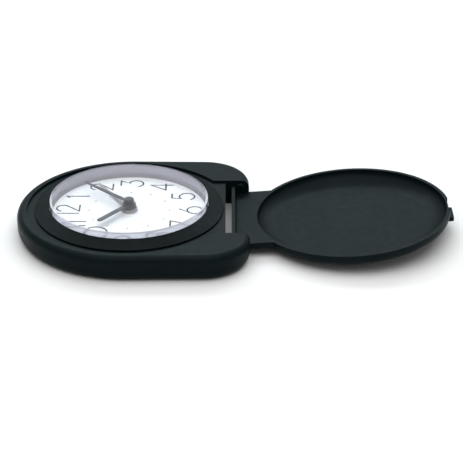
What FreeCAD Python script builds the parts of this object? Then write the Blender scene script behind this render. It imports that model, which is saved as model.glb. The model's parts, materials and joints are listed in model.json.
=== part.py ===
"""Folding travel alarm clock: a round quartz clock whose dish-shaped lid opens flat beside it.

Frame: origin on the table under the dial's centre, +Z up out of the dial, +X towards the hinge,
12 o'clock towards -X and 3 o'clock towards +Y. Millimetres. The lid is drawn at its resting pose.
"""
import FreeCAD, Part
import math
import os

V = FreeCAD.Vector
Y_AXIS = V(0, 1, 0)
Z_AXIS = V(0, 0, 1)
OUT = "parts"

# --- body outline ---------------------------------------------------------------------------------
BODY_R = 40.0            # round end, centred on the dial
EAR_R = 16.6             # corner radius in plan at the hinge end
EAR_C = (26.4, 23.0)     # centre of that corner
BODY_TOP = 9.25          # crest of the raised lip
SEAM_Z = 3.4             # parting line between front case and back cover
SEAM_STEP = 0.18         # the cover is inset by this at the seam
TOP_ROUND = 2.7
BOTTOM_ROUND = 3.1
WALL = 1.5
FLOOR = 1.2

# --- top of the front case ------------------------------------------------------------------------
RECESS_R = 36.5          # inner edge of the lip
LEDGE_Z = 8.4            # seat of the lid's rim, and the platform by the hinge
PLATE_T = 1.4
BEZEL_R = 33.7
SHELF_R = 32.0           # the bezel rests on a shelf of this bore
SHELF_Z = LEDGE_Z - 0.55
CASE_GAP = 0.1           # clearance round a piece dropped into a recess

# --- hinge end ------------------------------------------------------------------------------------
GAP_HALF = 21.05         # half the gap between the ears
SLOT_X = 34.4            # wall of the body facing the hinge
NOTCH_CHAMFER = 3.4      # lets the lid lean past vertical
HINGE_X = 39.75
HINGE_Z = 6.6
PIN_R = 0.6
PIN_PLAY = 0.05
LUG_R = 1.75
LUG_T = 1.25
WASHER_T = 0.3
EAR_BOSS_R = 2.1
EAR_BOSS_L = 2.6

# --- lid, drawn level and then turned to its resting angle ----------------------------------------
LID_R = 35.15
LID_X = 2 * HINGE_X      # centre when level, so that it closes concentric with the dial
LID_RISE = 4.2           # resting angle above level, degrees
RIM_PLANE = 4.6          # plane of the rim and of the tab when level
LID_WALL_H = 1.1
LID_DEPTH = 6.3
LID_CORNER_R = 3.0
LID_SHOULDER_R = 12.0
LID_CROWN_R = 384.0
DISH_R = 33.85
DISH_WALL_H = 0.6
DISH_DEPTH = 5.05
DISH_CORNER_R = 2.2
DISH_SHOULDER_R = 9.0
DISH_CROWN_R = 728.0
TAB_HALF = 20.7
TAB_T = 2.0
RIB_X = (36.7, 37.9)
RIB_TOP = 7.56
GROOVE = (38.05, 38.4, 0.5)
CATCH_HALF = 5.0
LIP_HALF = 4.1
LIP_OUT = 1.0
LIP_DEPTH = (3.4, 4.9)      # below the rim plane
CATCH_T = 0.75              # taken off the wall above the lip
CATCH_GAP = 0.4             # left between that cut and the lip

# --- dial, bezel and crystal ----------------------------------------------------------------------
DIAL_Z = 7.1
DIAL_T = 0.3
DIAL_R = 31.8
CRYSTAL_R = 28.2
CRYSTAL_TOP = 12.85
CRYSTAL_T = 0.8
FLANGE_R = 31.2
BEZEL_IN = 28.45
BEZEL_TOP = 10.7
BEZEL_EDGE = 9.0

# --- hands: clockwise angle from 12, length, level of the underside, thickness ------------------------
ARBOR_TOP = 11.2
MINUTE_ANGLE = 44.0
HOUR_ANGLE = 308.0
ALARM_ANGLE = 59.0
MINUTE_LEN = 23.2
HOUR_LEN = 16.7
ALARM_LEN = 23.7
MINUTE_Z = 10.35
HOUR_Z = 9.3
ALARM_Z = 7.8
HAND_T = 0.25
MINUTE_HUB_R = 1.75
HOUR_HUB_R = 2.45
ALARM_HUB_R = 3.0
MINUTE_HUB = (10.15, 11.8)       # low and high faces of each hub
HOUR_HUB = (8.3, 10.0)
ALARM_HUB = (7.25, 8.15)

# --- movement -------------------------------------------------------------------------------------
TRAY = (-21.5, 9.0, -14.5, 12.5)     # low x, high x, low y, high y
TRAY_Z = 2.3
TRAY_T = 0.6
TRAY_WALL = 0.8
MOVEMENT_LID_Z = 6.3
MOVEMENT_LID_T = 0.45
ARBOR_R = 0.5
TUBE_GAP = 0.06
TUBE_T = 0.44
HOUR_TUBE_R = ARBOR_R + TUBE_GAP + TUBE_T
ALARM_TUBE_R = HOUR_TUBE_R + TUBE_GAP + TUBE_T
SHAFT_R = 0.75
PIVOT_R = 0.35
PIVOT_PLAY = 0.05

TRAIN_MODULE = 0.18
CENTRE_TEETH = 64
LEAF_TEETH = 8
STEP_TEETH = 60
SETTING_MODULE = 0.30
CANNON_TEETH = 12
TIME_TEETH = 36
TIME_LEAVES = 10
HOUR_TEETH = 40
TIME_Y = -SETTING_MODULE * (CANNON_TEETH + TIME_TEETH) / 2
HOUR_MODULE = -2 * TIME_Y / (TIME_LEAVES + HOUR_TEETH)
ALARM_TEETH = 36
ALARM_LEAVES = 18
ALARM_Y = SETTING_MODULE * (ALARM_TEETH + ALARM_LEAVES) / 2
STEP_X = -TRAIN_MODULE * (CENTRE_TEETH + LEAF_TEETH) / 2
ROTOR_X = STEP_X - TRAIN_MODULE * (STEP_TEETH + LEAF_TEETH) / 2

STEP_WHEEL_Z = (3.05, 3.35)
CENTRE_WHEEL_Z = (3.6, 3.95)
CANNON_Z = (4.1, 4.6)
TIME_WHEEL_Z = (4.15, 4.5)
TIME_PINION_Z = (4.65, 5.2)
HOUR_WHEEL_Z = (4.75, 5.1)
ALARM_WHEEL_Z = (5.5, 5.85)
ALARM_PINION_Z = (5.4, 5.95)
MAGNET_Z = (4.1, 5.1)
MAGNET_R = 1.5
STATOR_Z = (4.3, 4.9)
STATOR_BORE = 1.8
STATOR_X = (ROTOR_X - 2.2, ROTOR_X + 2.2)
STATOR_HALF = 10.0
STATOR_ARM = 1.8
CORE_X = (-18.2, -16.4)
COIL_R = 1.55
COIL_HALF = 6.5
BOBBIN_WALL = 0.25
BOBBIN_FLANGE = 0.6

# --- controls on the back -------------------------------------------------------------------------
KNOB_R = 4.0
KNOB_Z = (0.25, 2.1)
KNOB_GAP = 0.4
KNOB_FLUTES = 18
COLLAR_T = 0.8
COLLAR_TOP = 2.2
CELL_XY = (17.5, -12.0)
CELL_R = 5.8
CELL_H = 5.4
CELL_Z = 1.1
CAP_R = 7.0
CAP_PLAY = 0.12
CAP_Z = (0.15, 1.0)
CAP_TAB_R = 8.1
CAP_TAB_SPAN = 34.0
CAP_TURN = 45.0
SWITCH_XY = (-17.0, 22.5)
SWITCH_TRAVEL = 3.0
SWITCH_BUTTON = (2.6, 3.0)
BUZZER_XY = (17.0, 12.5)
BUZZER_R = 7.4
BOARD = (22.0, 31.0, -14.0, 15.5)
BOARD_Z = (3.2, 4.0)
CHIP_XY = (27.0, 3.0)
SCREW_POINTS = [(-24.5, -24.5), (-24.5, 24.5), (28.5, -30.0), (28.5, 30.0)]
SCREW_HEAD_R = 1.7
SCREW_R = 0.85
SCREW_HEAD_Z = (0.5, 1.7)
SCREW_TOP = 6.2
SCREW_BOSS_R = 2.3

CUT = 1.0                # how far a cutting tool runs past the solid


def save(node, shape):
    """Write one sub-part after merging faces that lie on one surface."""
    clean = shape.removeSplitter()
    if not clean.isValid():
        clean = shape
    print(f"{node:24s} solids {len(clean.Solids)}  valid {clean.isValid()}  volume {clean.Volume:9.2f}")
    clean.exportStep(os.path.join(OUT, node + ".step"))


def cylinder(radius, low, high, x=0.0, y=0.0):
    return Part.makeCylinder(radius, high - low, V(x, y, low))


def tube(outer, inner, low, high, x=0.0, y=0.0):
    return cylinder(outer, low, high, x, y).cut(cylinder(inner, low - CUT, high + CUT, x, y))


def box(low_x, high_x, low_y, high_y, low_z, high_z):
    return Part.makeBox(high_x - low_x, high_y - low_y, high_z - low_z, V(low_x, low_y, low_z))


def rounded_box(low_x, high_x, low_y, high_y, low_z, high_z, radius):
    """A box whose upright edges are rounded."""
    block = box(low_x, high_x, low_y, high_y, low_z, high_z)
    upright = [e for e in block.Edges if abs(e.BoundBox.ZLength - (high_z - low_z)) < 1e-6]
    return block.makeFillet(radius, upright)


def prism(points, height_vector):
    """A closed outline, given as vectors, pushed along a vector."""
    face = Part.Face(Part.makePolygon(points + [points[0]]))
    return face.extrude(height_vector)


def revolved(edges):
    """Turn a closed section, drawn in the XZ plane, about the Z axis."""
    return Part.Face(Part.Wire(edges)).revolve(V(0, 0, 0), Z_AXIS, 360)


def revolved_polygon(points):
    corners = [V(r, 0, z) for r, z in points]
    return revolved(Part.makePolygon(corners + [corners[0]]).Edges)


def fuse(shapes):
    return shapes[0].multiFuse(shapes[1:]) if len(shapes) > 1 else shapes[0]


def turned(shape, clockwise_degrees):
    """Turn a piece drawn towards +X to a clockwise angle from 12 o'clock."""
    copy = shape.copy()
    copy.rotate(V(0, 0, 0), Z_AXIS, 180.0 - clockwise_degrees)
    return copy


def body_block(inset, low, high):
    """The body's plan: the round end joined to both ears by tangent lines."""
    ex, ey = EAR_C
    big = BODY_R - inset
    small = EAR_R - inset
    tilt = math.asin((big - small) / math.hypot(ex, ey)) - math.atan2(ey, ex)
    side = V(math.sin(tilt), math.cos(tilt), 0)
    far_big = side * big
    far_small = V(ex, ey, 0) + side * small
    near_big = V(far_big.x, -far_big.y, 0)
    near_small = V(far_small.x, -far_small.y, 0)
    diagonal = small * math.sqrt(0.5)
    far_corner = Part.Arc(far_small, V(ex + diagonal, ey + diagonal, 0), V(ex + small, ey, 0))
    near_corner = Part.Arc(V(ex + small, -ey, 0), V(ex + diagonal, -ey - diagonal, 0), near_small)
    edges = [Part.LineSegment(far_big, far_small).toShape(),
             far_corner.toShape(),
             Part.LineSegment(V(ex + small, ey, 0), V(ex + small, -ey, 0)).toShape(),
             near_corner.toShape(),
             Part.LineSegment(near_small, near_big).toShape(),
             Part.Arc(near_big, V(-big, 0, 0), far_big).toShape()]
    block = Part.Face(Part.Wire(edges)).extrude(V(0, 0, high - low))
    block.translate(V(0, 0, low))
    return block


def flat_edges(shape, level):
    """The edges that lie in one horizontal plane."""
    return [e for e in shape.Edges
            if abs(e.BoundBox.ZMin - level) < 1e-6 and abs(e.BoundBox.ZMax - level) < 1e-6]


def notch(wall, low, high):
    """The space between the ears, with the walls moved in by an amount."""
    return box(SLOT_X - wall, BODY_R + EAR_R, -GAP_HALF - wall, GAP_HALF + wall, low, high)


def gear(teeth, module, low, high, first_tooth=0.0, bore=0.0):
    """A spur gear with straight-flanked teeth, one of them at the angle first_tooth."""
    pitch_r = teeth * module / 2
    root_r = pitch_r - 1.25 * module
    tip_r = pitch_r + 0.85 * module
    half = math.pi / teeth / 2
    flank = [(root_r, -1.15 * half), (pitch_r, -0.74 * half), (tip_r, -0.34 * half),
             (tip_r, 0.34 * half), (pitch_r, 0.74 * half), (root_r, 1.15 * half)]
    points = []
    for tooth in range(teeth):
        centre = math.radians(first_tooth) + 2 * math.pi * tooth / teeth
        for r, offset in flank:
            points.append(V(r * math.cos(centre + offset), r * math.sin(centre + offset), low))
    wheel = prism(points, V(0, 0, high - low))
    if bore:
        wheel = wheel.cut(cylinder(bore, low - CUT, high + CUT))
    return wheel


def moved(shape, x=0.0, y=0.0, z=0.0):
    copy = shape.copy()
    copy.translate(V(x, y, z))
    return copy


# --- case -----------------------------------------------------------------------------------------

def front_case():
    block = body_block(0, SEAM_Z, BODY_TOP)
    block = block.makeFillet(TOP_ROUND, flat_edges(block, BODY_TOP))
    inside = body_block(WALL, SEAM_Z - CUT, LEDGE_Z - PLATE_T).cut(notch(WALL, 0, BODY_TOP))
    block = block.cut(inside)
    block = block.cut(notch(0, 0, BODY_TOP + CUT))
    block = block.cut(cylinder(RECESS_R, LEDGE_Z, BODY_TOP + CUT))
    channel = box(0, SLOT_X + CUT, -GAP_HALF, GAP_HALF, LEDGE_Z, BODY_TOP + CUT)
    block = block.cut(channel)
    block = block.cut(cylinder(BEZEL_R + CASE_GAP, SHELF_Z, BODY_TOP))
    block = block.cut(cylinder(SHELF_R, 0, BODY_TOP))
    ceiling = LEDGE_Z - PLATE_T
    additions = []
    for side in (-1, 1):
        inner = GAP_HALF * side
        boss = Part.makeCylinder(EAR_BOSS_R, WALL + EAR_BOSS_L, V(HINGE_X, inner, HINGE_Z), Y_AXIS * side)
        additions.append(boss.common(body_block(0.2, SEAM_Z + 0.6, BODY_TOP - 0.3)))
    for x, y in SCREW_POINTS:
        additions.append(cylinder(SCREW_BOSS_R, SEAM_Z, ceiling + 0.1, x, y))
    block = fuse([block] + additions)
    for side in (-1, 1):
        hole = Part.makeCylinder(PIN_R + 0.02, EAR_BOSS_L + WALL - 0.5, V(HINGE_X, GAP_HALF * side, HINGE_Z),
                                 Y_AXIS * side)
        block = block.cut(hole)
    for x, y in SCREW_POINTS:
        block = block.cut(cylinder(SCREW_R + 0.05, SEAM_Z - CUT, SCREW_TOP + 0.3, x, y))
    return block


def switch_slot():
    x, y = SWITCH_XY
    along, across = SWITCH_BUTTON
    return rounded_box(x - along / 2 - 0.2, x + along / 2 + SWITCH_TRAVEL + 0.2,
                       y - across / 2 - 0.2, y + across / 2 + 0.2, -CUT, FLOOR + CUT, 0.4)


def sector(radius, low, high, middle, span):
    """A wedge of a disc about the Z axis."""
    wedge = Part.makeCylinder(radius, high - low, V(0, 0, low), Z_AXIS, span)
    wedge.rotate(V(0, 0, 0), Z_AXIS, middle - span / 2)
    return wedge


def cap_tabs(growth, low, high, turn):
    """The two bayonet tabs of the battery cap, or their openings when grown."""
    tabs = [sector(CAP_TAB_R + growth, low, high, turn + side, CAP_TAB_SPAN + 8 * growth)
            for side in (0, 180)]
    return moved(fuse(tabs), *CELL_XY)


def back_cover():
    block = body_block(SEAM_STEP, 0, SEAM_Z)
    block = block.makeFillet(BOTTOM_ROUND, flat_edges(block, 0))
    inside = body_block(WALL, FLOOR, SEAM_Z + CUT)
    round_floor = body_block(WALL, FLOOR, SEAM_Z)
    inside = inside.cut(notch(WALL, 0, SEAM_Z + 2 * CUT))
    inside_low = [e for e in round_floor.Edges if abs(e.BoundBox.ZMax - FLOOR) < 1e-6]
    inside = inside.common(round_floor.makeFillet(BOTTOM_ROUND - FLOOR, inside_low).fuse(
        body_block(WALL, SEAM_Z, SEAM_Z + CUT)))
    block = block.cut(inside)
    lip = body_block(WALL + 0.05, SEAM_Z - 0.4, SEAM_Z + 0.8)
    lip = lip.cut(body_block(WALL + 0.85, SEAM_Z - CUT, SEAM_Z + 2 * CUT))
    lip = lip.cut(notch(WALL, 0, BODY_TOP))
    additions = [lip]
    for y in (TIME_Y, ALARM_Y):
        inner_r = KNOB_R + KNOB_GAP
        additions.append(tube(inner_r + COLLAR_T, inner_r, FLOOR - 0.2, COLLAR_TOP, 0, y))
    for x, y in SCREW_POINTS:
        additions.append(cylinder(SCREW_BOSS_R + 0.3, FLOOR - 0.2, SEAM_Z - 0.1, x, y))
    block = fuse([block] + additions)
    block = block.cut(notch(0, -CUT, BODY_TOP))
    wedge = prism([V(SLOT_X + CUT, -GAP_HALF, -CUT), V(SLOT_X - NOTCH_CHAMFER - CUT, -GAP_HALF, -CUT),
                   V(SLOT_X + CUT, -GAP_HALF, NOTCH_CHAMFER + CUT)], V(0, 2 * GAP_HALF, 0))
    block = block.cut(wedge)
    for y in (TIME_Y, ALARM_Y):
        block = block.cut(cylinder(KNOB_R + KNOB_GAP, -CUT, COLLAR_TOP + CUT, 0, y))
    for x, y in SCREW_POINTS:
        block = block.cut(cylinder(SCREW_HEAD_R + 0.15, -CUT, SCREW_HEAD_Z[1], x, y))
        block = block.cut(cylinder(SCREW_R + 0.15, -CUT, SEAM_Z + CUT, x, y))
    cell_x, cell_y = CELL_XY
    block = block.cut(cylinder(CAP_R + CAP_PLAY, -CUT, FLOOR + CUT, cell_x, cell_y))
    block = block.cut(cap_tabs(0.2, -CUT, FLOOR + CUT, -CAP_TURN))
    block = block.cut(switch_slot())
    bx, by = BUZZER_XY
    holes = [cylinder(0.6, -CUT, FLOOR + CUT, bx, by)]
    for k in range(6):
        angle = math.radians(60 * k)
        holes.append(cylinder(0.6, -CUT, FLOOR + CUT, bx + 2.6 * math.cos(angle), by + 2.6 * math.sin(angle)))
    return block.cut(fuse(holes))


def case_screws():
    screws = []
    for x, y in SCREW_POINTS:
        low, high = SCREW_HEAD_Z
        screw = cylinder(SCREW_HEAD_R, low, high, x, y).fuse(cylinder(SCREW_R, high - 0.1, SCREW_TOP, x, y))
        for along, across in ((1.1, 0.2), (0.2, 1.1)):
            screw = screw.cut(box(x - along, x + along, y - across, y + across, low - CUT, low + 0.6))
        screws.append(screw)
    return Part.makeCompound(screws)


def bezel_ring():
    return revolved_polygon([(BEZEL_IN, BEZEL_TOP), (BEZEL_IN + 0.35, BEZEL_TOP + 0.1),
                             (BEZEL_R, BEZEL_EDGE), (BEZEL_R, SHELF_Z),
                             (FLANGE_R + CASE_GAP, SHELF_Z), (FLANGE_R + CASE_GAP, LEDGE_Z + 0.15),
                             (BEZEL_IN, LEDGE_Z + 0.15)])


def crystal():
    flange_top = LEDGE_Z + 0.1
    low = DIAL_Z + 0.02
    inner = CRYSTAL_R - CRYSTAL_T
    cup = revolved_polygon([(0, CRYSTAL_TOP), (CRYSTAL_R, CRYSTAL_TOP), (CRYSTAL_R, flange_top),
                            (FLANGE_R, flange_top), (FLANGE_R, low), (inner, low),
                            (inner, CRYSTAL_TOP - CRYSTAL_T), (0, CRYSTAL_TOP - CRYSTAL_T)])
    return cup.makeFillet(0.35, [e for e in flat_edges(cup, CRYSTAL_TOP)])


def dial():
    return cylinder(DIAL_R, DIAL_Z - DIAL_T, DIAL_Z).cut(cylinder(ALARM_TUBE_R + 0.2, 0, DIAL_Z + CUT))


# --- lid and hinge --------------------------------------------------------------------------------

def dish(rim_r, wall_h, depth, corner_r, shoulder_r, crown_r, top):
    """A solid of the lid's profile: an upright wall, then three tangent arcs down to the centre."""
    corner = (rim_r - corner_r, wall_h)
    crown_z = depth - crown_r
    rise = corner[1] - crown_z
    span = shoulder_r - corner_r
    reach = math.hypot(corner[0], rise)
    meet = (reach ** 2 + span ** 2 - (crown_r - shoulder_r) ** 2) / (2 * span)
    first = math.atan2(rise, corner[0]) - math.acos(meet / reach)
    shoulder = (corner[0] - span * math.cos(first), corner[1] - span * math.sin(first))
    last = math.atan2(shoulder[1] - crown_z, shoulder[0])

    def point(centre, radius, angle):
        return V(centre[0] + radius * math.cos(angle), 0, RIM_PLANE - centre[1] - radius * math.sin(angle))

    start = point(corner, corner_r, 0)
    join = point(corner, corner_r, first)
    bend = point(shoulder, shoulder_r, last)
    bottom = V(0, 0, RIM_PLANE - depth)
    crown_middle = point((0, crown_z), crown_r, (last + math.pi / 2) / 2)
    edges = [Part.LineSegment(V(0, 0, top), V(rim_r, 0, top)).toShape(),
             Part.LineSegment(V(rim_r, 0, top), start).toShape(),
             Part.Arc(start, point(corner, corner_r, first / 2), join).toShape(),
             Part.Arc(join, point(shoulder, shoulder_r, (first + last) / 2), bend).toShape(),
             Part.Arc(bend, crown_middle, bottom).toShape(),
             Part.LineSegment(bottom, V(0, 0, top)).toShape()]
    return moved(revolved(edges), LID_X)


def outer_dish():
    return dish(LID_R, LID_WALL_H, LID_DEPTH, LID_CORNER_R, LID_SHOULDER_R, LID_CROWN_R, RIM_PLANE)


def inner_dish():
    return dish(DISH_R, DISH_WALL_H, DISH_DEPTH, DISH_CORNER_R, DISH_SHOULDER_R, DISH_CROWN_R,
                RIM_PLANE + CUT)


def raise_lid(shape):
    copy = shape.copy()
    copy.rotate(V(HINGE_X, 0, HINGE_Z), Y_AXIS, -LID_RISE)
    return copy


def lid():
    low = RIM_PLANE - TAB_T
    plate = box(RIB_X[0], LID_X - LID_R + 12, -TAB_HALF, TAB_HALF, low, RIM_PLANE)
    rib = box(RIB_X[0], RIB_X[1], -TAB_HALF, TAB_HALF, low, RIB_TOP)
    pieces = [outer_dish(), plate, rib]
    for side in (-1, 1):
        start = side * TAB_HALF
        lug = Part.makeCylinder(LUG_R, LUG_T, V(HINGE_X, start, HINGE_Z), Y_AXIS * -side)
        web_low, web_high = sorted((start, start - side * LUG_T))
        web = box(HINGE_X - LUG_R, HINGE_X + LUG_R, web_low, web_high, low, HINGE_Z)
        pieces += [lug, web]
    tip = LID_X + LID_R
    lip_z = (RIM_PLANE - LIP_DEPTH[1], RIM_PLANE - LIP_DEPTH[0])
    lip = rounded_box(tip - 3.0, tip + LIP_OUT, -LIP_HALF, LIP_HALF, lip_z[0], lip_z[1], 0.6)
    shape = fuse(pieces + [lip])
    shape = shape.cut(inner_dish())
    shape = shape.cut(box(GROOVE[0], GROOVE[1], -TAB_HALF + LUG_T, TAB_HALF - LUG_T,
                          RIM_PLANE - GROOVE[2], RIM_PLANE + CUT))
    shape = shape.cut(box(tip - CATCH_T, tip + CUT, -CATCH_HALF, CATCH_HALF,
                          RIM_PLANE - LIP_DEPTH[0] + CATCH_GAP, RIM_PLANE + CUT))
    for side in (-1, 1):
        start = side * (TAB_HALF + CUT)
        shape = shape.cut(Part.makeCylinder(PIN_R + PIN_PLAY, LUG_T + 2 * CUT, V(HINGE_X, start, HINGE_Z),
                                            Y_AXIS * -side))
    return raise_lid(shape)


def hinge_pins():
    pins = []
    for side in (-1, 1):
        start = side * (TAB_HALF - LUG_T)
        length = LUG_T + GAP_HALF - TAB_HALF + WALL + EAR_BOSS_L - 0.7
        pins.append(Part.makeCylinder(PIN_R, length, V(HINGE_X, start, HINGE_Z), Y_AXIS * side))
    return Part.makeCompound(pins)


def friction_washers():
    washers = []
    for side in (-1, 1):
        start = side * GAP_HALF
        ring = Part.makeCylinder(LUG_R - 0.15, WASHER_T, V(HINGE_X, start, HINGE_Z), Y_AXIS * -side)
        hole = Part.makeCylinder(PIN_R + 0.1, 3 * WASHER_T, V(HINGE_X, start + side * WASHER_T, HINGE_Z),
                                 Y_AXIS * -side)
        washers.append(ring.cut(hole))
    return Part.makeCompound(washers)


# --- hands ----------------------------------------------------------------------------------------

def blade(points, low):
    """A flat hand drawn towards +X from half its outline, mirrored across the X axis."""
    upper = [V(x, half, low) for x, half in points]
    lower = [V(x, -half, low) for x, half in reversed(points) if half > 0]
    return prism(upper + lower, V(0, 0, HAND_T))


def minute_hand():
    arm = blade([(0, 0.85), (MINUTE_LEN - 5.0, 0.65), (MINUTE_LEN, 0.25)], MINUTE_Z)
    hub = cylinder(MINUTE_HUB_R, *MINUTE_HUB)
    hub = hub.makeFillet(0.4, flat_edges(hub, MINUTE_HUB[1]))
    hole = cylinder(ARBOR_R + 0.02, MINUTE_Z - CUT, ARBOR_TOP + 0.05)
    return turned(arm.fuse(hub).cut(hole), MINUTE_ANGLE)


def hour_hand():
    arm = blade([(0, 0.95), (HOUR_LEN - 0.95, 0.95)], HOUR_Z)
    tip = Part.makeCylinder(0.95, HAND_T, V(HOUR_LEN - 0.95, 0, HOUR_Z))
    hub = cylinder(HOUR_HUB_R, *HOUR_HUB)
    hub = hub.makeFillet(0.3, flat_edges(hub, HOUR_HUB[1]))
    hole = cylinder(HOUR_TUBE_R + 0.02, HOUR_Z - 2 * CUT, HOUR_Z + 2 * CUT)
    return turned(fuse([arm, tip, hub]).cut(hole), HOUR_ANGLE)


def alarm_hand():
    arm = blade([(0, 0.6), (ALARM_LEN, 0.45)], ALARM_Z)
    hub = cylinder(ALARM_HUB_R, *ALARM_HUB)
    hub = hub.makeFillet(0.15, flat_edges(hub, ALARM_HUB[1]))
    hole = cylinder(ALARM_TUBE_R + 0.02, ALARM_Z - CUT, ALARM_Z + CUT)
    return turned(arm.fuse(hub).cut(hole), ALARM_ANGLE)


# --- movement -------------------------------------------------------------------------------------

def movement_tray():
    lx, hx, ly, hy = TRAY
    tray = rounded_box(lx, hx, ly, hy, TRAY_Z, MOVEMENT_LID_Z, 2.0)
    tray = tray.cut(rounded_box(lx + TRAY_WALL, hx - TRAY_WALL, ly + TRAY_WALL, hy - TRAY_WALL,
                                TRAY_Z + TRAY_T, MOVEMENT_LID_Z + CUT, 1.2))
    for y in (TIME_Y, ALARM_Y):
        tray = tray.cut(cylinder(SHAFT_R + PIVOT_PLAY, 0, TRAY_Z + CUT, 0, y))
    for x in (0, STEP_X, ROTOR_X):
        tray = tray.cut(cylinder(PIVOT_R + PIVOT_PLAY, TRAY_Z + 0.15, TRAY_Z + CUT, x))
    for y in (-STATOR_HALF + 0.9, STATOR_HALF - 0.9):
        tray = tray.fuse(cylinder(0.8, TRAY_Z + TRAY_T - 0.1, STATOR_Z[0], CORE_X[0] + 0.9, y))
    return tray


def movement_lid():
    lx, hx, ly, hy = TRAY
    low = MOVEMENT_LID_Z
    plate = rounded_box(lx, hx, ly, hy, low, low + MOVEMENT_LID_T, 2.0)
    plate = plate.cut(cylinder(ALARM_TUBE_R + TUBE_GAP, 0, low + CUT))
    for x, y in ((0, TIME_Y), (0, ALARM_Y), (STEP_X, 0), (ROTOR_X, 0)):
        plate = plate.cut(cylinder(PIVOT_R + PIVOT_PLAY, 0, low + 0.3, x, y))
    return plate


def pivots(x, y, low, high):
    """A thin shaft from the tray's floor to the movement's lid, ending in the two pivot holes."""
    return cylinder(PIVOT_R, low, high, x, y)


def centre_wheel():
    arbor = cylinder(ARBOR_R, TRAY_Z + TRAY_T + 0.05, ARBOR_TOP)
    pivot = cylinder(PIVOT_R, TRAY_Z + 0.2, CENTRE_WHEEL_Z[0])
    wheel = gear(CENTRE_TEETH, TRAIN_MODULE, *CENTRE_WHEEL_Z, first_tooth=180.0 / CENTRE_TEETH)
    cannon = gear(CANNON_TEETH, SETTING_MODULE, *CANNON_Z)
    collar = cylinder(1.0, CENTRE_WHEEL_Z[0], CANNON_Z[1])
    return fuse([arbor, pivot, wheel, cannon, collar])


def reduction_wheel():
    shaft = pivots(0, 0, TRAY_Z + 0.2, MOVEMENT_LID_Z + 0.25)
    wheel = gear(STEP_TEETH, TRAIN_MODULE, *STEP_WHEEL_Z)
    leaves = gear(LEAF_TEETH, TRAIN_MODULE, STEP_WHEEL_Z[0], CENTRE_WHEEL_Z[1] + 0.1)
    return moved(fuse([shaft, wheel, leaves]), STEP_X)


def rotor():
    shaft = pivots(0, 0, TRAY_Z + 0.2, MOVEMENT_LID_Z + 0.25)
    leaves = gear(LEAF_TEETH, TRAIN_MODULE, STEP_WHEEL_Z[0] - 0.05, STEP_WHEEL_Z[1] + 0.2,
                  first_tooth=180.0 / LEAF_TEETH)
    magnet = cylinder(MAGNET_R, *MAGNET_Z)
    return moved(fuse([shaft, leaves, magnet]), ROTOR_X)


def hour_wheel():
    sleeve = tube(HOUR_TUBE_R, ARBOR_R + TUBE_GAP, HOUR_WHEEL_Z[0], HOUR_HUB[1])
    wheel = gear(HOUR_TEETH, HOUR_MODULE, *HOUR_WHEEL_Z, first_tooth=180.0 / HOUR_TEETH,
                 bore=ARBOR_R + TUBE_GAP)
    return sleeve.fuse(wheel)


def alarm_wheel():
    sleeve = tube(ALARM_TUBE_R, HOUR_TUBE_R + TUBE_GAP, ALARM_WHEEL_Z[0], ALARM_HUB[1])
    wheel = gear(ALARM_TEETH, SETTING_MODULE, *ALARM_WHEEL_Z, bore=HOUR_TUBE_R + TUBE_GAP)
    return sleeve.fuse(wheel)


def time_wheel():
    shaft = cylinder(SHAFT_R, KNOB_Z[1] - 1.0, TIME_PINION_Z[1])
    pivot = pivots(0, 0, TIME_PINION_Z[1] - 0.2, MOVEMENT_LID_Z + 0.25)
    wheel = gear(TIME_TEETH, SETTING_MODULE, *TIME_WHEEL_Z, first_tooth=180.0 / TIME_TEETH)
    leaves = gear(TIME_LEAVES, HOUR_MODULE, TIME_WHEEL_Z[0], TIME_PINION_Z[1],
                  first_tooth=180.0 / TIME_LEAVES)
    return moved(fuse([shaft, pivot, wheel, leaves]), 0, TIME_Y)


def alarm_pinion():
    shaft = cylinder(SHAFT_R, KNOB_Z[1] - 1.0, ALARM_PINION_Z[1])
    pivot = pivots(0, 0, ALARM_PINION_Z[1] - 0.2, MOVEMENT_LID_Z + 0.25)
    leaves = gear(ALARM_LEAVES, SETTING_MODULE, *ALARM_PINION_Z)
    return moved(fuse([shaft, pivot, leaves]), 0, ALARM_Y)


def setting_knob(y):
    """A fluted disc with a raised grip bar, worked from the back."""
    low, high = KNOB_Z
    disc = cylinder(KNOB_R, low, high)
    disc = disc.makeFillet(0.3, flat_edges(disc, low))
    flutes = []
    for k in range(KNOB_FLUTES):
        angle = 2 * math.pi * k / KNOB_FLUTES
        flutes.append(cylinder(0.32, low - CUT, high + CUT, (KNOB_R + 0.08) * math.cos(angle),
                               (KNOB_R + 0.08) * math.sin(angle)))
    disc = disc.cut(fuse(flutes))
    for side in (-1, 1):
        scoop = cylinder(2.4, low - CUT, low + 0.7, side * 3.05)
        disc = disc.cut(scoop.common(cylinder(KNOB_R - 0.75, low - CUT, high)))
    disc = disc.cut(cylinder(SHAFT_R + 0.02, KNOB_Z[1] - 1.0, high + CUT))
    return moved(disc, 0, y)


def stator():
    low, high = STATOR_Z
    plate = box(STATOR_X[0], STATOR_X[1], -STATOR_HALF, STATOR_HALF, low, high)
    arms = [box(CORE_X[0], STATOR_X[0] + 0.5, side * STATOR_HALF - (side + 1) / 2 * STATOR_ARM,
                side * STATOR_HALF + (1 - side) / 2 * STATOR_ARM, low, high) for side in (-1, 1)]
    core = box(CORE_X[0] + 0.3, CORE_X[1] - 0.3, -STATOR_HALF + 0.5, STATOR_HALF - 0.5,
               low + 0.05, high - 0.05)
    shape = fuse([plate, core] + arms)
    return shape.cut(cylinder(STATOR_BORE, low - CUT, high + CUT, ROTOR_X))


def coil_axis_box(half_width, half_height, half_length):
    middle_x = (CORE_X[0] + CORE_X[1]) / 2
    middle_z = (STATOR_Z[0] + STATOR_Z[1]) / 2
    return box(middle_x - half_width, middle_x + half_width, -half_length, half_length,
               middle_z - half_height, middle_z + half_height)


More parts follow.
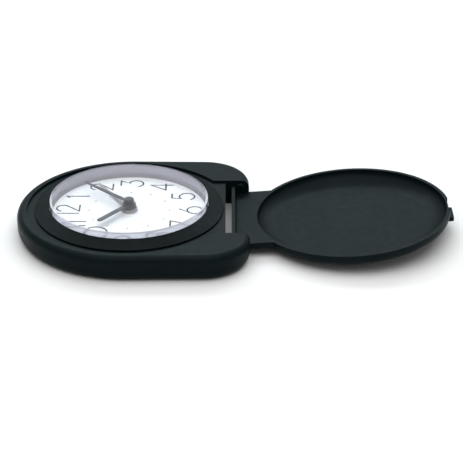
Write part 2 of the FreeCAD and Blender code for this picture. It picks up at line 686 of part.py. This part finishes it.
def coil_bobbin():
    sleeve = coil_axis_box(0.65 + BOBBIN_WALL, 0.3 + BOBBIN_WALL, COIL_HALF + BOBBIN_FLANGE)
    ends = coil_axis_box(COIL_R + 0.1, COIL_R, COIL_HALF + BOBBIN_FLANGE)
    ends = ends.cut(coil_axis_box(COIL_R + CUT, COIL_R + CUT, COIL_HALF))
    return sleeve.fuse(ends).cut(coil_axis_box(0.65, 0.3, STATOR_HALF))


def coil_winding():
    middle_x = (CORE_X[0] + CORE_X[1]) / 2
    middle_z = (STATOR_Z[0] + STATOR_Z[1]) / 2
    start = V(middle_x, -COIL_HALF + 0.02, middle_z)
    round_coil = Part.makeCylinder(COIL_R, 2 * COIL_HALF - 0.04, start, Y_AXIS)
    return round_coil.cut(coil_axis_box(0.67 + BOBBIN_WALL, 0.32 + BOBBIN_WALL, STATOR_HALF))


def alarm_contact():
    """The leaf that the alarm wheel trips, held under the movement's lid."""
    leaf = box(-9.0, 4.5, 3.6, 5.4, 6.02, 6.14)
    foot = box(-9.0, -7.6, 3.6, 5.4, 6.02, MOVEMENT_LID_Z)
    return leaf.fuse(foot)


# --- electrics ------------------------------------------------------------------------------------

def circuit_board():
    lx, hx, ly, hy = BOARD
    board = box(lx, hx, ly, hy, *BOARD_Z)
    clear_of_cell = cylinder(CELL_R + 0.6, 0, BODY_TOP, *CELL_XY)
    return board.cut(clear_of_cell)


def chip():
    x, y = CHIP_XY
    top = BOARD_Z[1] + 0.8
    blob = cylinder(1.9, BOARD_Z[1], top, x, y)
    return blob.makeFillet(0.5, flat_edges(blob, top))


def quartz_can():
    can = Part.makeCylinder(1.0, 6.0, V(27.0, 7.5, BOARD_Z[1] + 1.0), Y_AXIS)
    leads = [Part.makeCylinder(0.15, 1.6, V(27.0 + dx, 5.95, BOARD_Z[1] + 1.0), Y_AXIS) for dx in (-0.4, 0.4)]
    feet = [Part.makeCylinder(0.15, 1.1, V(27.0 + dx, 6.05, BOARD_Z[1])) for dx in (-0.4, 0.4)]
    return fuse([can] + leads + feet)


def button_cell():
    x, y = CELL_XY
    can = cylinder(CELL_R, CELL_Z, CELL_Z + CELL_H - 0.4, x, y)
    can = can.makeFillet(0.4, flat_edges(can, CELL_Z))
    return can.fuse(cylinder(CELL_R - 0.9, CELL_Z + CELL_H - 0.5, CELL_Z + CELL_H, x, y))


def battery_cap():
    x, y = CELL_XY
    low, high = CAP_Z
    disc = cylinder(CAP_R, low, high)
    disc = disc.makeFillet(0.25, flat_edges(disc, low))
    inside_low = FLOOR + 0.08
    tabs = moved(cap_tabs(0, inside_low, inside_low + 0.55, 0), -x, -y)
    ring = tube(CAP_R, CELL_R + 0.25, high - 0.1, inside_low + 0.55)
    tabs = tabs.cut(cylinder(CELL_R + 0.25, 0, BODY_TOP))
    shape = fuse([disc, ring, tabs])
    shape = shape.cut(box(-4.2, 4.2, -0.75, 0.75, low - CUT, low + 0.6))
    return moved(shape, x, y)


def positive_contact():
    """A sprung strip against the side of the cell, soldered to the board's edge."""
    x, y = CELL_XY
    side = tube(CELL_R + 0.35, CELL_R + 0.1, 2.4, 5.6, x, y)
    keep = Part.makeBox(12, 9, 10, V(x - 1.0, y + 2.2, 0))
    strip = side.common(keep)
    tail = box(x + 5.2, BOARD[0] + 3.2, y + 3.15, y + 3.45, BOARD_Z[1] + 0.02, 5.6)
    return strip.fuse(tail)


def negative_contact():
    """A leaf over the cell's top, running to a foot on the board."""
    x, y = CELL_XY
    level = CELL_Z + CELL_H
    leaf = box(x - 2.0, 28.0, y - 1.2, y + 1.2, level + 0.02, level + 0.14)
    foot = box(27.85, 28.0, y - 1.2, y + 1.2, BOARD_Z[1], level + 0.14)
    return leaf.fuse(foot)


def buzzer():
    x, y = BUZZER_XY
    plate = cylinder(BUZZER_R, FLOOR + 0.3, FLOOR + 0.5, x, y)
    return plate.fuse(cylinder(BUZZER_R - 2.2, FLOOR + 0.49, FLOOR + 0.7, x, y))


def buzzer_seat():
    """The foam ring that holds the buzzer disc off the cover."""
    x, y = BUZZER_XY
    return tube(BUZZER_R - 0.1, BUZZER_R - 1.6, FLOOR, FLOOR + 0.3, x, y)


def buzzer_springs():
    """Two bent leaves from the board down to the buzzer's plate and to its coating."""
    bx, by = BUZZER_XY
    top = BOARD_Z[0]
    leaves = []
    for y, foot in ((by - 1.6, FLOOR + 0.5), (by + 1.2, FLOOR + 0.5)):
        reach = bx + BUZZER_R
        upright = box(reach - 0.9, reach - 0.75, y, y + 1.0, foot, top)
        toe = box(reach - 1.6, reach - 0.75, y, y + 1.0, foot, foot + 0.15)
        head = box(reach - 0.9, reach + 0.6, y, y + 1.0, top - 0.15, top)
        leaves.append(fuse([upright, toe, head]))
    return Part.makeCompound(leaves)


def alarm_switch():
    """The slide: a ribbed button in the cover's slot on a wider runner inside."""
    x, y = SWITCH_XY
    along, across = SWITCH_BUTTON
    button = box(x - along / 2, x + along / 2, y - across / 2, y + across / 2, 0.2, FLOOR + 0.2)
    for offset in (-0.8, 0, 0.8):
        button = button.cut(box(x + offset - 0.15, x + offset + 0.15, y - across, y + across, 0, 0.45))
    runner = box(x - along / 2 - 1.2, x + along / 2 + 1.2, y - across / 2 - 1.2, y + across / 2 + 1.2,
                 FLOOR + 0.05, FLOOR + 0.75)
    return button.fuse(runner)


def switch_contacts():
    """Two leaves on a carrier above the slide's runner."""
    x, y = SWITCH_XY
    carrier = box(x - 3.0, x + 6.0, y - 2.2, y + 2.2, FLOOR + 1.4, FLOOR + 2.2)
    leaves = [box(x - 2.0, x + 4.5, y + dy - 0.4, y + dy + 0.4, FLOOR + 0.8, FLOOR + 0.95) for dy in (-1.2, 1.2)]
    posts = [box(x + 3.9, x + 4.5, y + dy - 0.4, y + dy + 0.4, FLOOR + 0.8, FLOOR + 1.5) for dy in (-1.2, 1.2)]
    return fuse([carrier] + leaves + posts)


PARTS = {
    "front_case": front_case,
    "back_cover": back_cover,
    "case_screws": case_screws,
    "bezel_ring": bezel_ring,
    "crystal": crystal,
    "dial": dial,
    "lid": lid,
    "hinge_pins": hinge_pins,
    "friction_washers": friction_washers,
    "minute_hand": minute_hand,
    "hour_hand": hour_hand,
    "alarm_hand": alarm_hand,
    "movement_tray": movement_tray,
    "movement_lid": movement_lid,
    "centre_wheel": centre_wheel,
    "reduction_wheel": reduction_wheel,
    "rotor": rotor,
    "hour_wheel": hour_wheel,
    "time_wheel": time_wheel,
    "alarm_wheel": alarm_wheel,
    "alarm_pinion": alarm_pinion,
    "time_knob": lambda: setting_knob(TIME_Y),
    "alarm_knob": lambda: setting_knob(ALARM_Y),
    "stator": stator,
    "coil_bobbin": coil_bobbin,
    "coil_winding": coil_winding,
    "alarm_contact": alarm_contact,
    "circuit_board": circuit_board,
    "chip": chip,
    "quartz_can": quartz_can,
    "button_cell": button_cell,
    "battery_cap": battery_cap,
    "positive_contact": positive_contact,
    "negative_contact": negative_contact,
    "buzzer": buzzer,
    "buzzer_seat": buzzer_seat,
    "buzzer_springs": buzzer_springs,
    "alarm_switch": alarm_switch,
    "switch_contacts": switch_contacts,
}

os.makedirs(OUT, exist_ok=True)
for node, build in PARTS.items():
    save(node, build())
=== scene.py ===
"""Folding travel alarm clock: materials, printed dial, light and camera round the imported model."""
import json
import math

import bmesh
import bpy
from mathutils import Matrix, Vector


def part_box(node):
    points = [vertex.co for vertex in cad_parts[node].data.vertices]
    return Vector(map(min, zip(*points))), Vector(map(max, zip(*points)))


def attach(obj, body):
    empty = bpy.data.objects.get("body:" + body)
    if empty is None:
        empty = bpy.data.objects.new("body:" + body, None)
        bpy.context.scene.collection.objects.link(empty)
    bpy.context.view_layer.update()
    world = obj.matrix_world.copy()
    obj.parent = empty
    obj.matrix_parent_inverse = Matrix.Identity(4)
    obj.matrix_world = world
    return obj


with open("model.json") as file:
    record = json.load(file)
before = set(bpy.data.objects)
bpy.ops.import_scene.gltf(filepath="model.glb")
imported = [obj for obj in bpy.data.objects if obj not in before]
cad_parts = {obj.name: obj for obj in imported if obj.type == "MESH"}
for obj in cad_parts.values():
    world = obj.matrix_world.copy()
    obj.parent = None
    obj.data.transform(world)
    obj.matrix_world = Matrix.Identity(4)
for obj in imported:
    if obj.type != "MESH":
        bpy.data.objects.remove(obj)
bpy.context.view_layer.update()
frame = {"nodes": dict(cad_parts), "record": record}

MM = 0.001
NODES = frame["nodes"]
DIAL_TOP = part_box("dial")[1].z

# --- printed dial, in millimetres ------------------------------------------------------------
INK_LIFT = 0.02          # from the dial to the underside of the print
INK_THICKNESS = 0.03
INK_TOP = INK_LIFT + INK_THICKNESS
STROKE = 0.60            # width of a numeral's line
NUMERAL_RING = 22.0      # radius through the middles of the numerals
NUMERAL_HALF = 4.1       # half the height of a numeral
DOT_RING = 14.4          # radius through the hour dots
DOT_R = 0.28
ARC_STEP = 9.0           # degrees between the points of a curved stroke
MITRE_LIMIT = 0.45       # keeps a sharp corner of a stroke from running out to a long point
SAME_POINT = 1e-6        # a stroke that ends this near its start is closed
WELD = 1e-7              # metres; vertices nearer than this become one

# --- looks of the plastics and metals --------------------------------------------------------
NOISE_LOW, NOISE_HIGH = 0.3, 0.7   # nearly all of a noise texture's values lie between these

CASE_BLACK = (0.0030, 0.0090, 0.0105), (0.0050, 0.0120, 0.0140)
BEZEL_BLACK = (0.0025, 0.0060, 0.0068), (0.0040, 0.0080, 0.0090)

# slot: darkest colour, lightest colour, roughness, grain across and deep in mm, specular level
PLASTICS = {
    "case_plastic": (*CASE_BLACK, 0.40, 0.16, 0.012, 0.09),
    "lid_plastic": (*CASE_BLACK, 0.42, 0.16, 0.012, 0.09),
    "bezel_plastic": (*BEZEL_BLACK, 0.44, 0.14, 0.010, 0.075),
    "hand_grey": ((0.030, 0.038, 0.044), (0.042, 0.051, 0.058), 0.38, 0.2, 0.003, 0.5),
    "alarm_hand_paint": ((0.30, 0.275, 0.29), (0.36, 0.33, 0.345), 0.38, 0.2, 0.003, 0.5),
    "movement_plastic": ((0.62, 0.62, 0.57), (0.70, 0.70, 0.65), 0.45, 0.3, 0.006, 0.5),
    "wheel_plastic": ((0.72, 0.71, 0.67), (0.80, 0.79, 0.75), 0.35, 0.3, 0.003, 0.5),
    "board_green": ((0.02, 0.10, 0.04), (0.03, 0.14, 0.06), 0.35, 0.5, 0.006, 0.5),
    "chip_epoxy": ((0.008, 0.008, 0.008), (0.014, 0.014, 0.014), 0.25, 0.8, 0.01, 0.5),
    "foam": ((0.02, 0.02, 0.02), (0.04, 0.04, 0.04), 0.85, 0.25, 0.08, 0.1),
    "knob_plastic": ((0.014, 0.016, 0.017), (0.019, 0.021, 0.022), 0.40, 0.14, 0.008, 0.4),
    "ferrite": ((0.03, 0.03, 0.032), (0.05, 0.05, 0.052), 0.5, 0.2, 0.01, 0.5),
}

# slot: darkest colour, lightest colour, roughness, times the noise is squeezed along X, Y and Z
METALS = {
    "steel": ((0.50, 0.50, 0.51), (0.60, 0.60, 0.61), 0.30, None),
    "soft_iron": ((0.33, 0.33, 0.34), (0.42, 0.42, 0.43), 0.42, (1, 6, 1)),
    "copper_wire": ((0.55, 0.22, 0.09), (0.68, 0.30, 0.13), 0.32, (1, 12, 1)),
    "spring_brass": ((0.62, 0.45, 0.18), (0.72, 0.54, 0.24), 0.30, (5, 1, 1)),
    "cell_steel": ((0.58, 0.58, 0.57), (0.68, 0.68, 0.67), 0.22, (1, 1, 8)),
    "buzzer_brass": ((0.60, 0.47, 0.22), (0.70, 0.56, 0.28), 0.30, None),
}
# The hinge pins and washers are steel but take a near-black steel: painted shade, so they read as
# dark as the shaded hinge recess they sit in.
STEEL_IN_PAINTED_SHADE = (0.010, 0.011, 0.012), (0.018, 0.019, 0.020), 0.45, None
NODES_IN_PAINTED_SHADE = ("hinge_pins", "friction_washers")

# --- the crystal's acrylic -------------------------------------------------------------------
ACRYLIC_IOR = 1.49
ACRYLIC_TINT = (0.975, 0.972, 0.99), (0.985, 0.98, 0.995)
WALL_TINT = (0.93, 0.93, 0.96)
MILK_COLOUR = (0.84, 0.83, 0.90)
MILK_ROUGHNESS = 0.22
SHADOW_TINT = (0.97, 0.97, 0.98)
FLAT_FACE = 0.98         # a face whose normal is more upright than this is flat and refracts
ROUNDED_RIM = 0.12       # one above this is the wall's rounded rim, and below it the wall
MILKINESS = 0.36         # how much of the crystal's wall is seen as milky plastic
RIM_PAINTED_HIGHLIGHT = 0.8          # and of its rounded rim, painted near-white milk as a highlight line

# --- camera ----------------------------------------------------------------------------------
VIEW_ELEVATION = 27.1    # degrees above the floor
CAMERA_PLACE = (36.57, -563.0, 287.1)   # millimetres
CAMERA_LENS = 136.51     # millimetres, as is the sensor
SENSOR = 36.0
CLIP_START = 0.01        # metres
VIEW_GAMMA = 0.9         # deepens the blacks and leaves the whites

# --- floor and light, in metres --------------------------------------------------------------
WHITE = (1.0, 1.0, 1.0)
COOL = (0.80, 0.95, 1.0)
SKY = 0.46               # brightness of the studio all round
LIGHT_TARGET = (0.035, 0.0, 0.0)   # near the middle of the open clock
FLOOR_SIZE = 6.0
FLOOR_LEVEL = -0.00005   # just under the flat base of the case, so that the two never coincide
FLOOR_COLOURS = (0.86, 0.855, 0.85), (0.88, 0.875, 0.87)


# --- materials -------------------------------------------------------------------------------

class Shader:
    """A node material with one Principled shader and helpers that add to it."""

    def __init__(self, name, **values):
        self.material = bpy.data.materials.new(name)
        self.material.use_nodes = True
        self.tree = self.material.node_tree
        self.principled = self.tree.nodes["Principled BSDF"]
        for socket, value in values.items():
            self.principled.inputs[socket.replace("_", " ")].default_value = value
        self.place = self.add("ShaderNodeTexCoord").outputs["Object"]

    def add(self, kind, **settings):
        node = self.tree.nodes.new(kind)
        for key, value in settings.items():
            setattr(node, key, value)
        return node

    def link(self, source, target):
        self.tree.links.new(source, target)

    def noise(self, size_mm, detail=3.0, roughness=0.5, squeeze=None):
        """Noise whose features are about size_mm across, before any squeeze along X, Y and Z."""
        source = self.place
        if squeeze:
            mapping = self.add("ShaderNodeMapping")
            mapping.inputs["Scale"].default_value = squeeze
            self.link(source, mapping.inputs["Vector"])
            source = mapping.outputs["Vector"]
        node = self.add("ShaderNodeTexNoise")
        node.inputs["Scale"].default_value = 1.0 / (size_mm * MM)
        node.inputs["Detail"].default_value = detail
        node.inputs["Roughness"].default_value = roughness
        self.link(source, node.inputs["Vector"])
        return node.outputs["Fac"]

    def colours(self, factor, low, high):
        """Colour that runs between two values with a factor."""
        ramp = self.add("ShaderNodeValToRGB")
        first, last = ramp.color_ramp.elements
        first.position, last.position = NOISE_LOW, NOISE_HIGH
        first.color, last.color = (*low, 1.0), (*high, 1.0)
        self.link(factor, ramp.inputs["Fac"])
        self.link(ramp.outputs["Color"], self.principled.inputs["Base Color"])

    def roughness(self, factor, low, high):
        """Roughness that runs between two values with a factor."""
        spread = self.add("ShaderNodeMapRange")
        spread.inputs["From Min"].default_value = NOISE_LOW
        spread.inputs["From Max"].default_value = NOISE_HIGH
        spread.inputs["To Min"].default_value = low
        spread.inputs["To Max"].default_value = high
        self.link(factor, spread.inputs["Value"])
        self.link(spread.outputs["Result"], self.principled.inputs["Roughness"])

    def bump(self, factor, strength, depth_mm):
        node = self.add("ShaderNodeBump")
        node.inputs["Strength"].default_value = strength
        node.inputs["Distance"].default_value = depth_mm * MM
        self.link(factor, node.inputs["Height"])
        self.link(node.outputs["Normal"], self.principled.inputs["Normal"])


def moulded_plastic(name, low, high, rough, grain_mm, grain_depth, specular):
    """Spark-textured moulded plastic: fine grain, slow colour drift, patchy gloss."""
    shader = Shader(name, Specular_IOR_Level=specular)
    shader.colours(shader.noise(size_mm=9.0, detail=4.0), low, high)
    gloss = shader.noise(size_mm=2.4, detail=5.0, roughness=0.6)
    shader.roughness(gloss, low=rough - 0.05, high=rough + 0.06)
    grain = shader.noise(size_mm=grain_mm, detail=2.0, roughness=0.65)
    shader.bump(grain, strength=0.5, depth_mm=grain_depth)
    return shader.material


def metal(name, low, high, rough, squeeze):
    """Bare metal. A squeeze across the way it was worked makes its marks run along it."""
    shader = Shader(name, Metallic=1.0)
    shader.colours(shader.noise(size_mm=1.5, detail=4.0, squeeze=squeeze), low, high)
    polish = shader.noise(size_mm=0.6, detail=4.0, squeeze=squeeze)
    shader.roughness(polish, low=rough - 0.06, high=rough + 0.08)
    marks = shader.noise(size_mm=0.15, detail=2.0, squeeze=squeeze)
    shader.bump(marks, strength=0.25, depth_mm=0.004)
    return shader.material


def clear_acrylic():
    """Acrylic: flat faces refract, the turned wall is slightly milky, its rim painted white as a
    highlight, and lamps shine through.
    """
    shader = Shader("clear_acrylic", Transmission_Weight=1.0, IOR=ACRYLIC_IOR, Roughness=0.0)
    shader.colours(shader.noise(size_mm=30.0), *ACRYLIC_TINT)
    output = shader.tree.nodes["Material Output"]

    def see_through(tint):
        node = shader.add("ShaderNodeBsdfTransparent")
        node.inputs["Color"].default_value = (*tint, 1.0)
        return node.outputs["BSDF"]

    def above(limit):
        node = shader.add("ShaderNodeMath", operation="GREATER_THAN")
        node.inputs[1].default_value = limit
        shader.link(upright.outputs["Value"], node.inputs[0])
        return node.outputs["Value"]

    def mix(factor, none, full):
        node = shader.add("ShaderNodeMixShader")
        shader.link(factor, node.inputs["Fac"])
        shader.link(none, node.inputs[1])
        shader.link(full, node.inputs[2])
        return node.outputs["Shader"]

    normal = shader.add("ShaderNodeSeparateXYZ")
    shader.link(shader.add("ShaderNodeNewGeometry").outputs["Normal"], normal.inputs["Vector"])
    upright = shader.add("ShaderNodeMath", operation="ABSOLUTE")
    shader.link(normal.outputs["Z"], upright.inputs[0])

    milk = shader.add("ShaderNodeBsdfPrincipled")
    milk.inputs["Base Color"].default_value = (*MILK_COLOUR, 1.0)
    milk.inputs["Roughness"].default_value = MILK_ROUGHNESS
    # Milk over the wall, and more over its rounded rim, where the near-white milk is a painted
    # highlight.
    milk_and_painted_highlight = shader.add("ShaderNodeMapRange")
    milk_and_painted_highlight.inputs["To Min"].default_value = MILKINESS
    milk_and_painted_highlight.inputs["To Max"].default_value = RIM_PAINTED_HIGHLIGHT
    shader.link(above(ROUNDED_RIM), milk_and_painted_highlight.inputs["Value"])

    wall = mix(milk_and_painted_highlight.outputs["Result"], see_through(WALL_TINT), milk.outputs["BSDF"])
    seen = mix(above(FLAT_FACE), wall, shader.principled.outputs["BSDF"])
    shadow_ray = shader.add("ShaderNodeLightPath").outputs["Is Shadow Ray"]
    shader.link(mix(shadow_ray, seen, see_through(SHADOW_TINT)), output.inputs["Surface"])
    return shader.material


def dial_card():
    shader = Shader("dial_white", Specular_IOR_Level=0.35)
    drift = shader.noise(size_mm=3.0, detail=5.0)
    shader.colours(drift, (0.76, 0.79, 0.79), (0.80, 0.825, 0.83))
    shader.roughness(shader.noise(size_mm=0.5, detail=3.0), low=0.5, high=0.6)
    shader.bump(shader.noise(size_mm=0.12, detail=2.0), strength=0.2, depth_mm=0.003)
    return shader.material


def printed_ink():
    shader = Shader("dial_ink", Specular_IOR_Level=0.3)
    drift = shader.noise(size_mm=0.4, detail=4.0)
    shader.colours(drift, (0.018, 0.021, 0.024), (0.035, 0.039, 0.043))
    shader.roughness(shader.noise(size_mm=0.3), low=0.45, high=0.55)
    return shader.material


MATERIALS = {slot: moulded_plastic(slot, *look) for slot, look in PLASTICS.items()}
MATERIALS.update({slot: metal(slot, *look) for slot, look in METALS.items()})
MATERIALS["clear_acrylic"] = clear_acrylic()
MATERIALS["dial_white"] = dial_card()
INK = printed_ink()
# Near-black steel for the hinge pins and washers: painted shade of the hinge recess.
SHADE_PAINTED_METAL = metal("steel_painted_dark_as_shade", *STEEL_IN_PAINTED_SHADE)


def paint_nodes():
    """Every CAD node takes the material of its slot, apart from the hinge pins and washers, painted
    near-black as shade.
    """
    for row in frame["record"]["subparts"]:
        pin_in_painted_shade = row["node"] in NODES_IN_PAINTED_SHADE
        materials = NODES[row["node"]].data.materials
        materials.clear()
        materials.append(SHADE_PAINTED_METAL if pin_in_painted_shade else MATERIALS[row["material_slot"]])


# --- printed dial ----------------------------------------------------------------------------

def arc(centre_x, centre_y, radius, start, end):
    """Points along an arc from start to end degrees, either way round."""
    steps = max(2, int(abs(end - start) / ARC_STEP))
    angles = [math.radians(start + (end - start) * k / steps) for k in range(steps + 1)]
    return [(centre_x + radius * math.cos(a), centre_y + radius * math.sin(a)) for a in angles]


# A numeral is a list of strokes, and a stroke is a list of points right of and above its middle,
# in millimetres. A numeral of two figures sets each figure to one side with "at".

def numeral_one(at):
    flag = (at - 1.0, NUMERAL_HALF - 0.9)
    return [[(at, -NUMERAL_HALF), (at, NUMERAL_HALF), flag]]


def numeral_two(at):
    foot = [(at - 2.4, -NUMERAL_HALF), (at + 2.5, -NUMERAL_HALF)]
    return [arc(at, NUMERAL_HALF - 2.35, 2.35, 165, -38) + foot]


def numeral_three():
    top = [(-1.7, NUMERAL_HALF), (2.3, NUMERAL_HALF), (0.1, 0.75)]
    return [top + arc(-0.2, -1.5, 2.6, 78, -160)]


def numeral_four():
    return [[(1.5, -NUMERAL_HALF), (1.5, NUMERAL_HALF), (-2.6, -1.5), (2.6, -1.5)]]


def numeral_five():
    top = [(2.2, NUMERAL_HALF), (-1.2, NUMERAL_HALF), (-1.8, 0.55)]
    return [top + arc(-0.1, -1.35, 2.75, 125, -150)]


def numeral_six():
    return [[(0.9, NUMERAL_HALF)] + arc(0, -1.4, 2.7, 150, -210)]


def numeral_seven():
    return [[(-2.4, NUMERAL_HALF), (2.4, NUMERAL_HALF), (-0.7, -NUMERAL_HALF)]]


def numeral_eight():
    return [arc(0, 2.1, 2.0, -90, 270), arc(0, -1.95, 2.2, 90, 450)]


def numeral_nine():
    return [[(-x, -y) for x, y in stroke] for stroke in numeral_six()]


def numeral_zero(at):
    return [arc(at, 0, NUMERAL_HALF - 0.1, 0, 360)]


NUMERALS = {
    1: numeral_one(0.3),
    2: numeral_two(0),
    3: numeral_three(),
    4: numeral_four(),
    5: numeral_five(),
    6: numeral_six(),
    7: numeral_seven(),
    8: numeral_eight(),
    9: numeral_nine(),
    10: numeral_one(-3.6) + numeral_zero(1.7),
    11: numeral_one(-1.3) + numeral_one(1.9),
    12: numeral_one(-2.6) + numeral_two(1.5),
}


def on_dial(right, up, level):
    """A point of the dial seen with 12 at the top, in metres in the row frame."""
    return Vector((-up * MM, right * MM, DIAL_TOP + level * MM))


def flat_face(mesh, corners, level):
    """One face of the print, level with the dial."""
    mesh.faces.new([mesh.verts.new(on_dial(*corner, level)) for corner in corners])


def edge_face(mesh, a, b):
    """The thin edge of the print between two points of its outline."""
    corners = ((a, INK_LIFT), (b, INK_LIFT), (b, INK_TOP), (a, INK_TOP))
    mesh.faces.new([mesh.verts.new(on_dial(*point, level)) for point, level in corners])


def quarter_turn(way):
    return Vector((-way.y, way.x))


def ribbon(mesh, points, width):
    """A flat printed stroke with mitred corners and a pointed cap at each open end."""
    path = [Vector(p) for p in points]
    half = width / 2
    steps = [(b - a).normalized() for a, b in zip(path, path[1:])]
    left, right = [], []
    for here, before, after in zip(path, steps[:1] + steps, steps + steps[-1:]):
        side = quarter_turn((before + after).normalized())
        reach = half / max(MITRE_LIMIT, side.dot(quarter_turn(after)))
        left.append(here + side * reach)
        right.append(here - side * reach)

    front, back, caps, joins = [], [], [], ()
    if (path[0] - path[-1]).length < SAME_POINT:
        joins = (len(left) - 1, 2 * len(left) - 1)
    else:
        front = [path[0] - steps[0] * half]
        back = [path[-1] + steps[-1] * half]
        caps = [(right[0], left[0], front[0]), (left[-1], right[-1], back[0])]
    for level, order in ((INK_TOP, 1), (INK_LIFT, -1)):
        for k in range(len(steps)):
            flat_face(mesh, [left[k], right[k], right[k + 1], left[k + 1]][::order], level)
        for cap in caps:
            flat_face(mesh, cap[::order], level)
    outline = left + back + right[::-1] + front
    for k, point in enumerate(outline):
        if k not in joins:
            edge_face(mesh, point, outline[(k + 1) % len(outline)])


def finish_mesh(name, mesh, material, body):
    """Turn a bmesh into a piece that rides on a body."""
    bmesh.ops.remove_doubles(mesh, verts=mesh.verts, dist=WELD)
    bmesh.ops.recalc_face_normals(mesh, faces=mesh.faces)
    data = bpy.data.meshes.new(name)
    mesh.to_mesh(data)
    mesh.free()
    piece = bpy.data.objects.new(name, data)
    bpy.context.scene.collection.objects.link(piece)
    data.materials.append(material)
    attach(piece, body)


def dial_numerals():
    mesh = bmesh.new()
    for hour, strokes in NUMERALS.items():
        angle = math.radians(30 * hour)
        middle = (NUMERAL_RING * math.sin(angle), NUMERAL_RING * math.cos(angle))
        for stroke in strokes:
            ribbon(mesh, [(middle[0] + u, middle[1] + v) for u, v in stroke], STROKE)
    finish_mesh("dial_numerals", mesh, INK, "case")


def hour_dots():
    mesh = bmesh.new()
    for hour in range(12):
        angle = math.radians(30 * hour)
        middle = (DOT_RING * math.sin(angle), DOT_RING * math.cos(angle))
        rim = arc(*middle, DOT_R, 0, 360)[:-1]
        for level, order in ((INK_TOP, 1), (INK_LIFT, -1)):
            flat_face(mesh, rim[::order], level)
        for k, point in enumerate(rim):
            edge_face(mesh, point, rim[(k + 1) % len(rim)])
    finish_mesh("hour_dots", mesh, INK, "case")


# --- floor, light, camera --------------------------------------------------------------------

def floor():
    bpy.ops.mesh.primitive_plane_add(size=FLOOR_SIZE, location=(0, 0, FLOOR_LEVEL))
    plane = bpy.context.object
    plane.name = "floor"
    shader = Shader("floor_white", Roughness=0.7, Specular_IOR_Level=0.2)
    shader.colours(shader.noise(size_mm=60.0), *FLOOR_COLOURS)
    plane.data.materials.append(shader.material)


def soft_light(name, place, size, watts, colour):
    """A rectangular lamp that faces the clock."""
    data = bpy.data.lights.new(name, "AREA")
    data.shape = "RECTANGLE"
    data.size, data.size_y = size
    data.energy = watts
    data.color = colour
    lamp = bpy.data.objects.new(name, data)
    lamp.location = place
    aim = Vector(LIGHT_TARGET) - Vector(place)
    lamp.rotation_euler = aim.to_track_quat("-Z", "Y").to_euler()
    bpy.context.scene.collection.objects.link(lamp)


def light_scene():
    """The same pale sky all round, a large lamp overhead and a low cool one behind the clock."""
    world = bpy.data.worlds.new("studio")
    bpy.context.scene.world = world
    world.use_nodes = True
    nodes, links = world.node_tree.nodes, world.node_tree.links
    nodes["Background"].inputs["Color"].default_value = (*WHITE, 1.0)
    # The brightness is the same all round, but it comes from a direction: Cycles samples such a sky
    # as a lamp, and without that the dial under the crystal is lit differently.
    even = nodes.new("ShaderNodeMapRange")
    even.inputs["To Min"].default_value = SKY
    even.inputs["To Max"].default_value = SKY
    links.new(nodes.new("ShaderNodeTexCoord").outputs["Generated"], even.inputs["Value"])
    links.new(even.outputs["Result"], nodes["Background"].inputs["Strength"])
    soft_light("overhead", place=(0.0, -0.05, 1.35), size=(2.0, 2.0), watts=18.0, colour=WHITE)
    soft_light("sweep_behind", place=(0.0, 1.25, 1.02), size=(2.2, 0.40), watts=13.0, colour=COOL)


def camera():
    data = bpy.data.cameras.new("camera")
    data.lens = CAMERA_LENS
    data.sensor_width = SENSOR
    data.clip_start = CLIP_START
    seen_from = bpy.data.objects.new("camera", data)
    seen_from.location = [value * MM for value in CAMERA_PLACE]
    seen_from.rotation_euler = (math.radians(90.0 - VIEW_ELEVATION), 0, 0)
    bpy.context.scene.collection.objects.link(seen_from)
    bpy.context.scene.camera = seen_from
    bpy.context.scene.view_settings.view_transform = "Standard"
    bpy.context.scene.view_settings.gamma = VIEW_GAMMA


paint_nodes()
dial_numerals()
hour_dots()
floor()
light_scene()
camera()
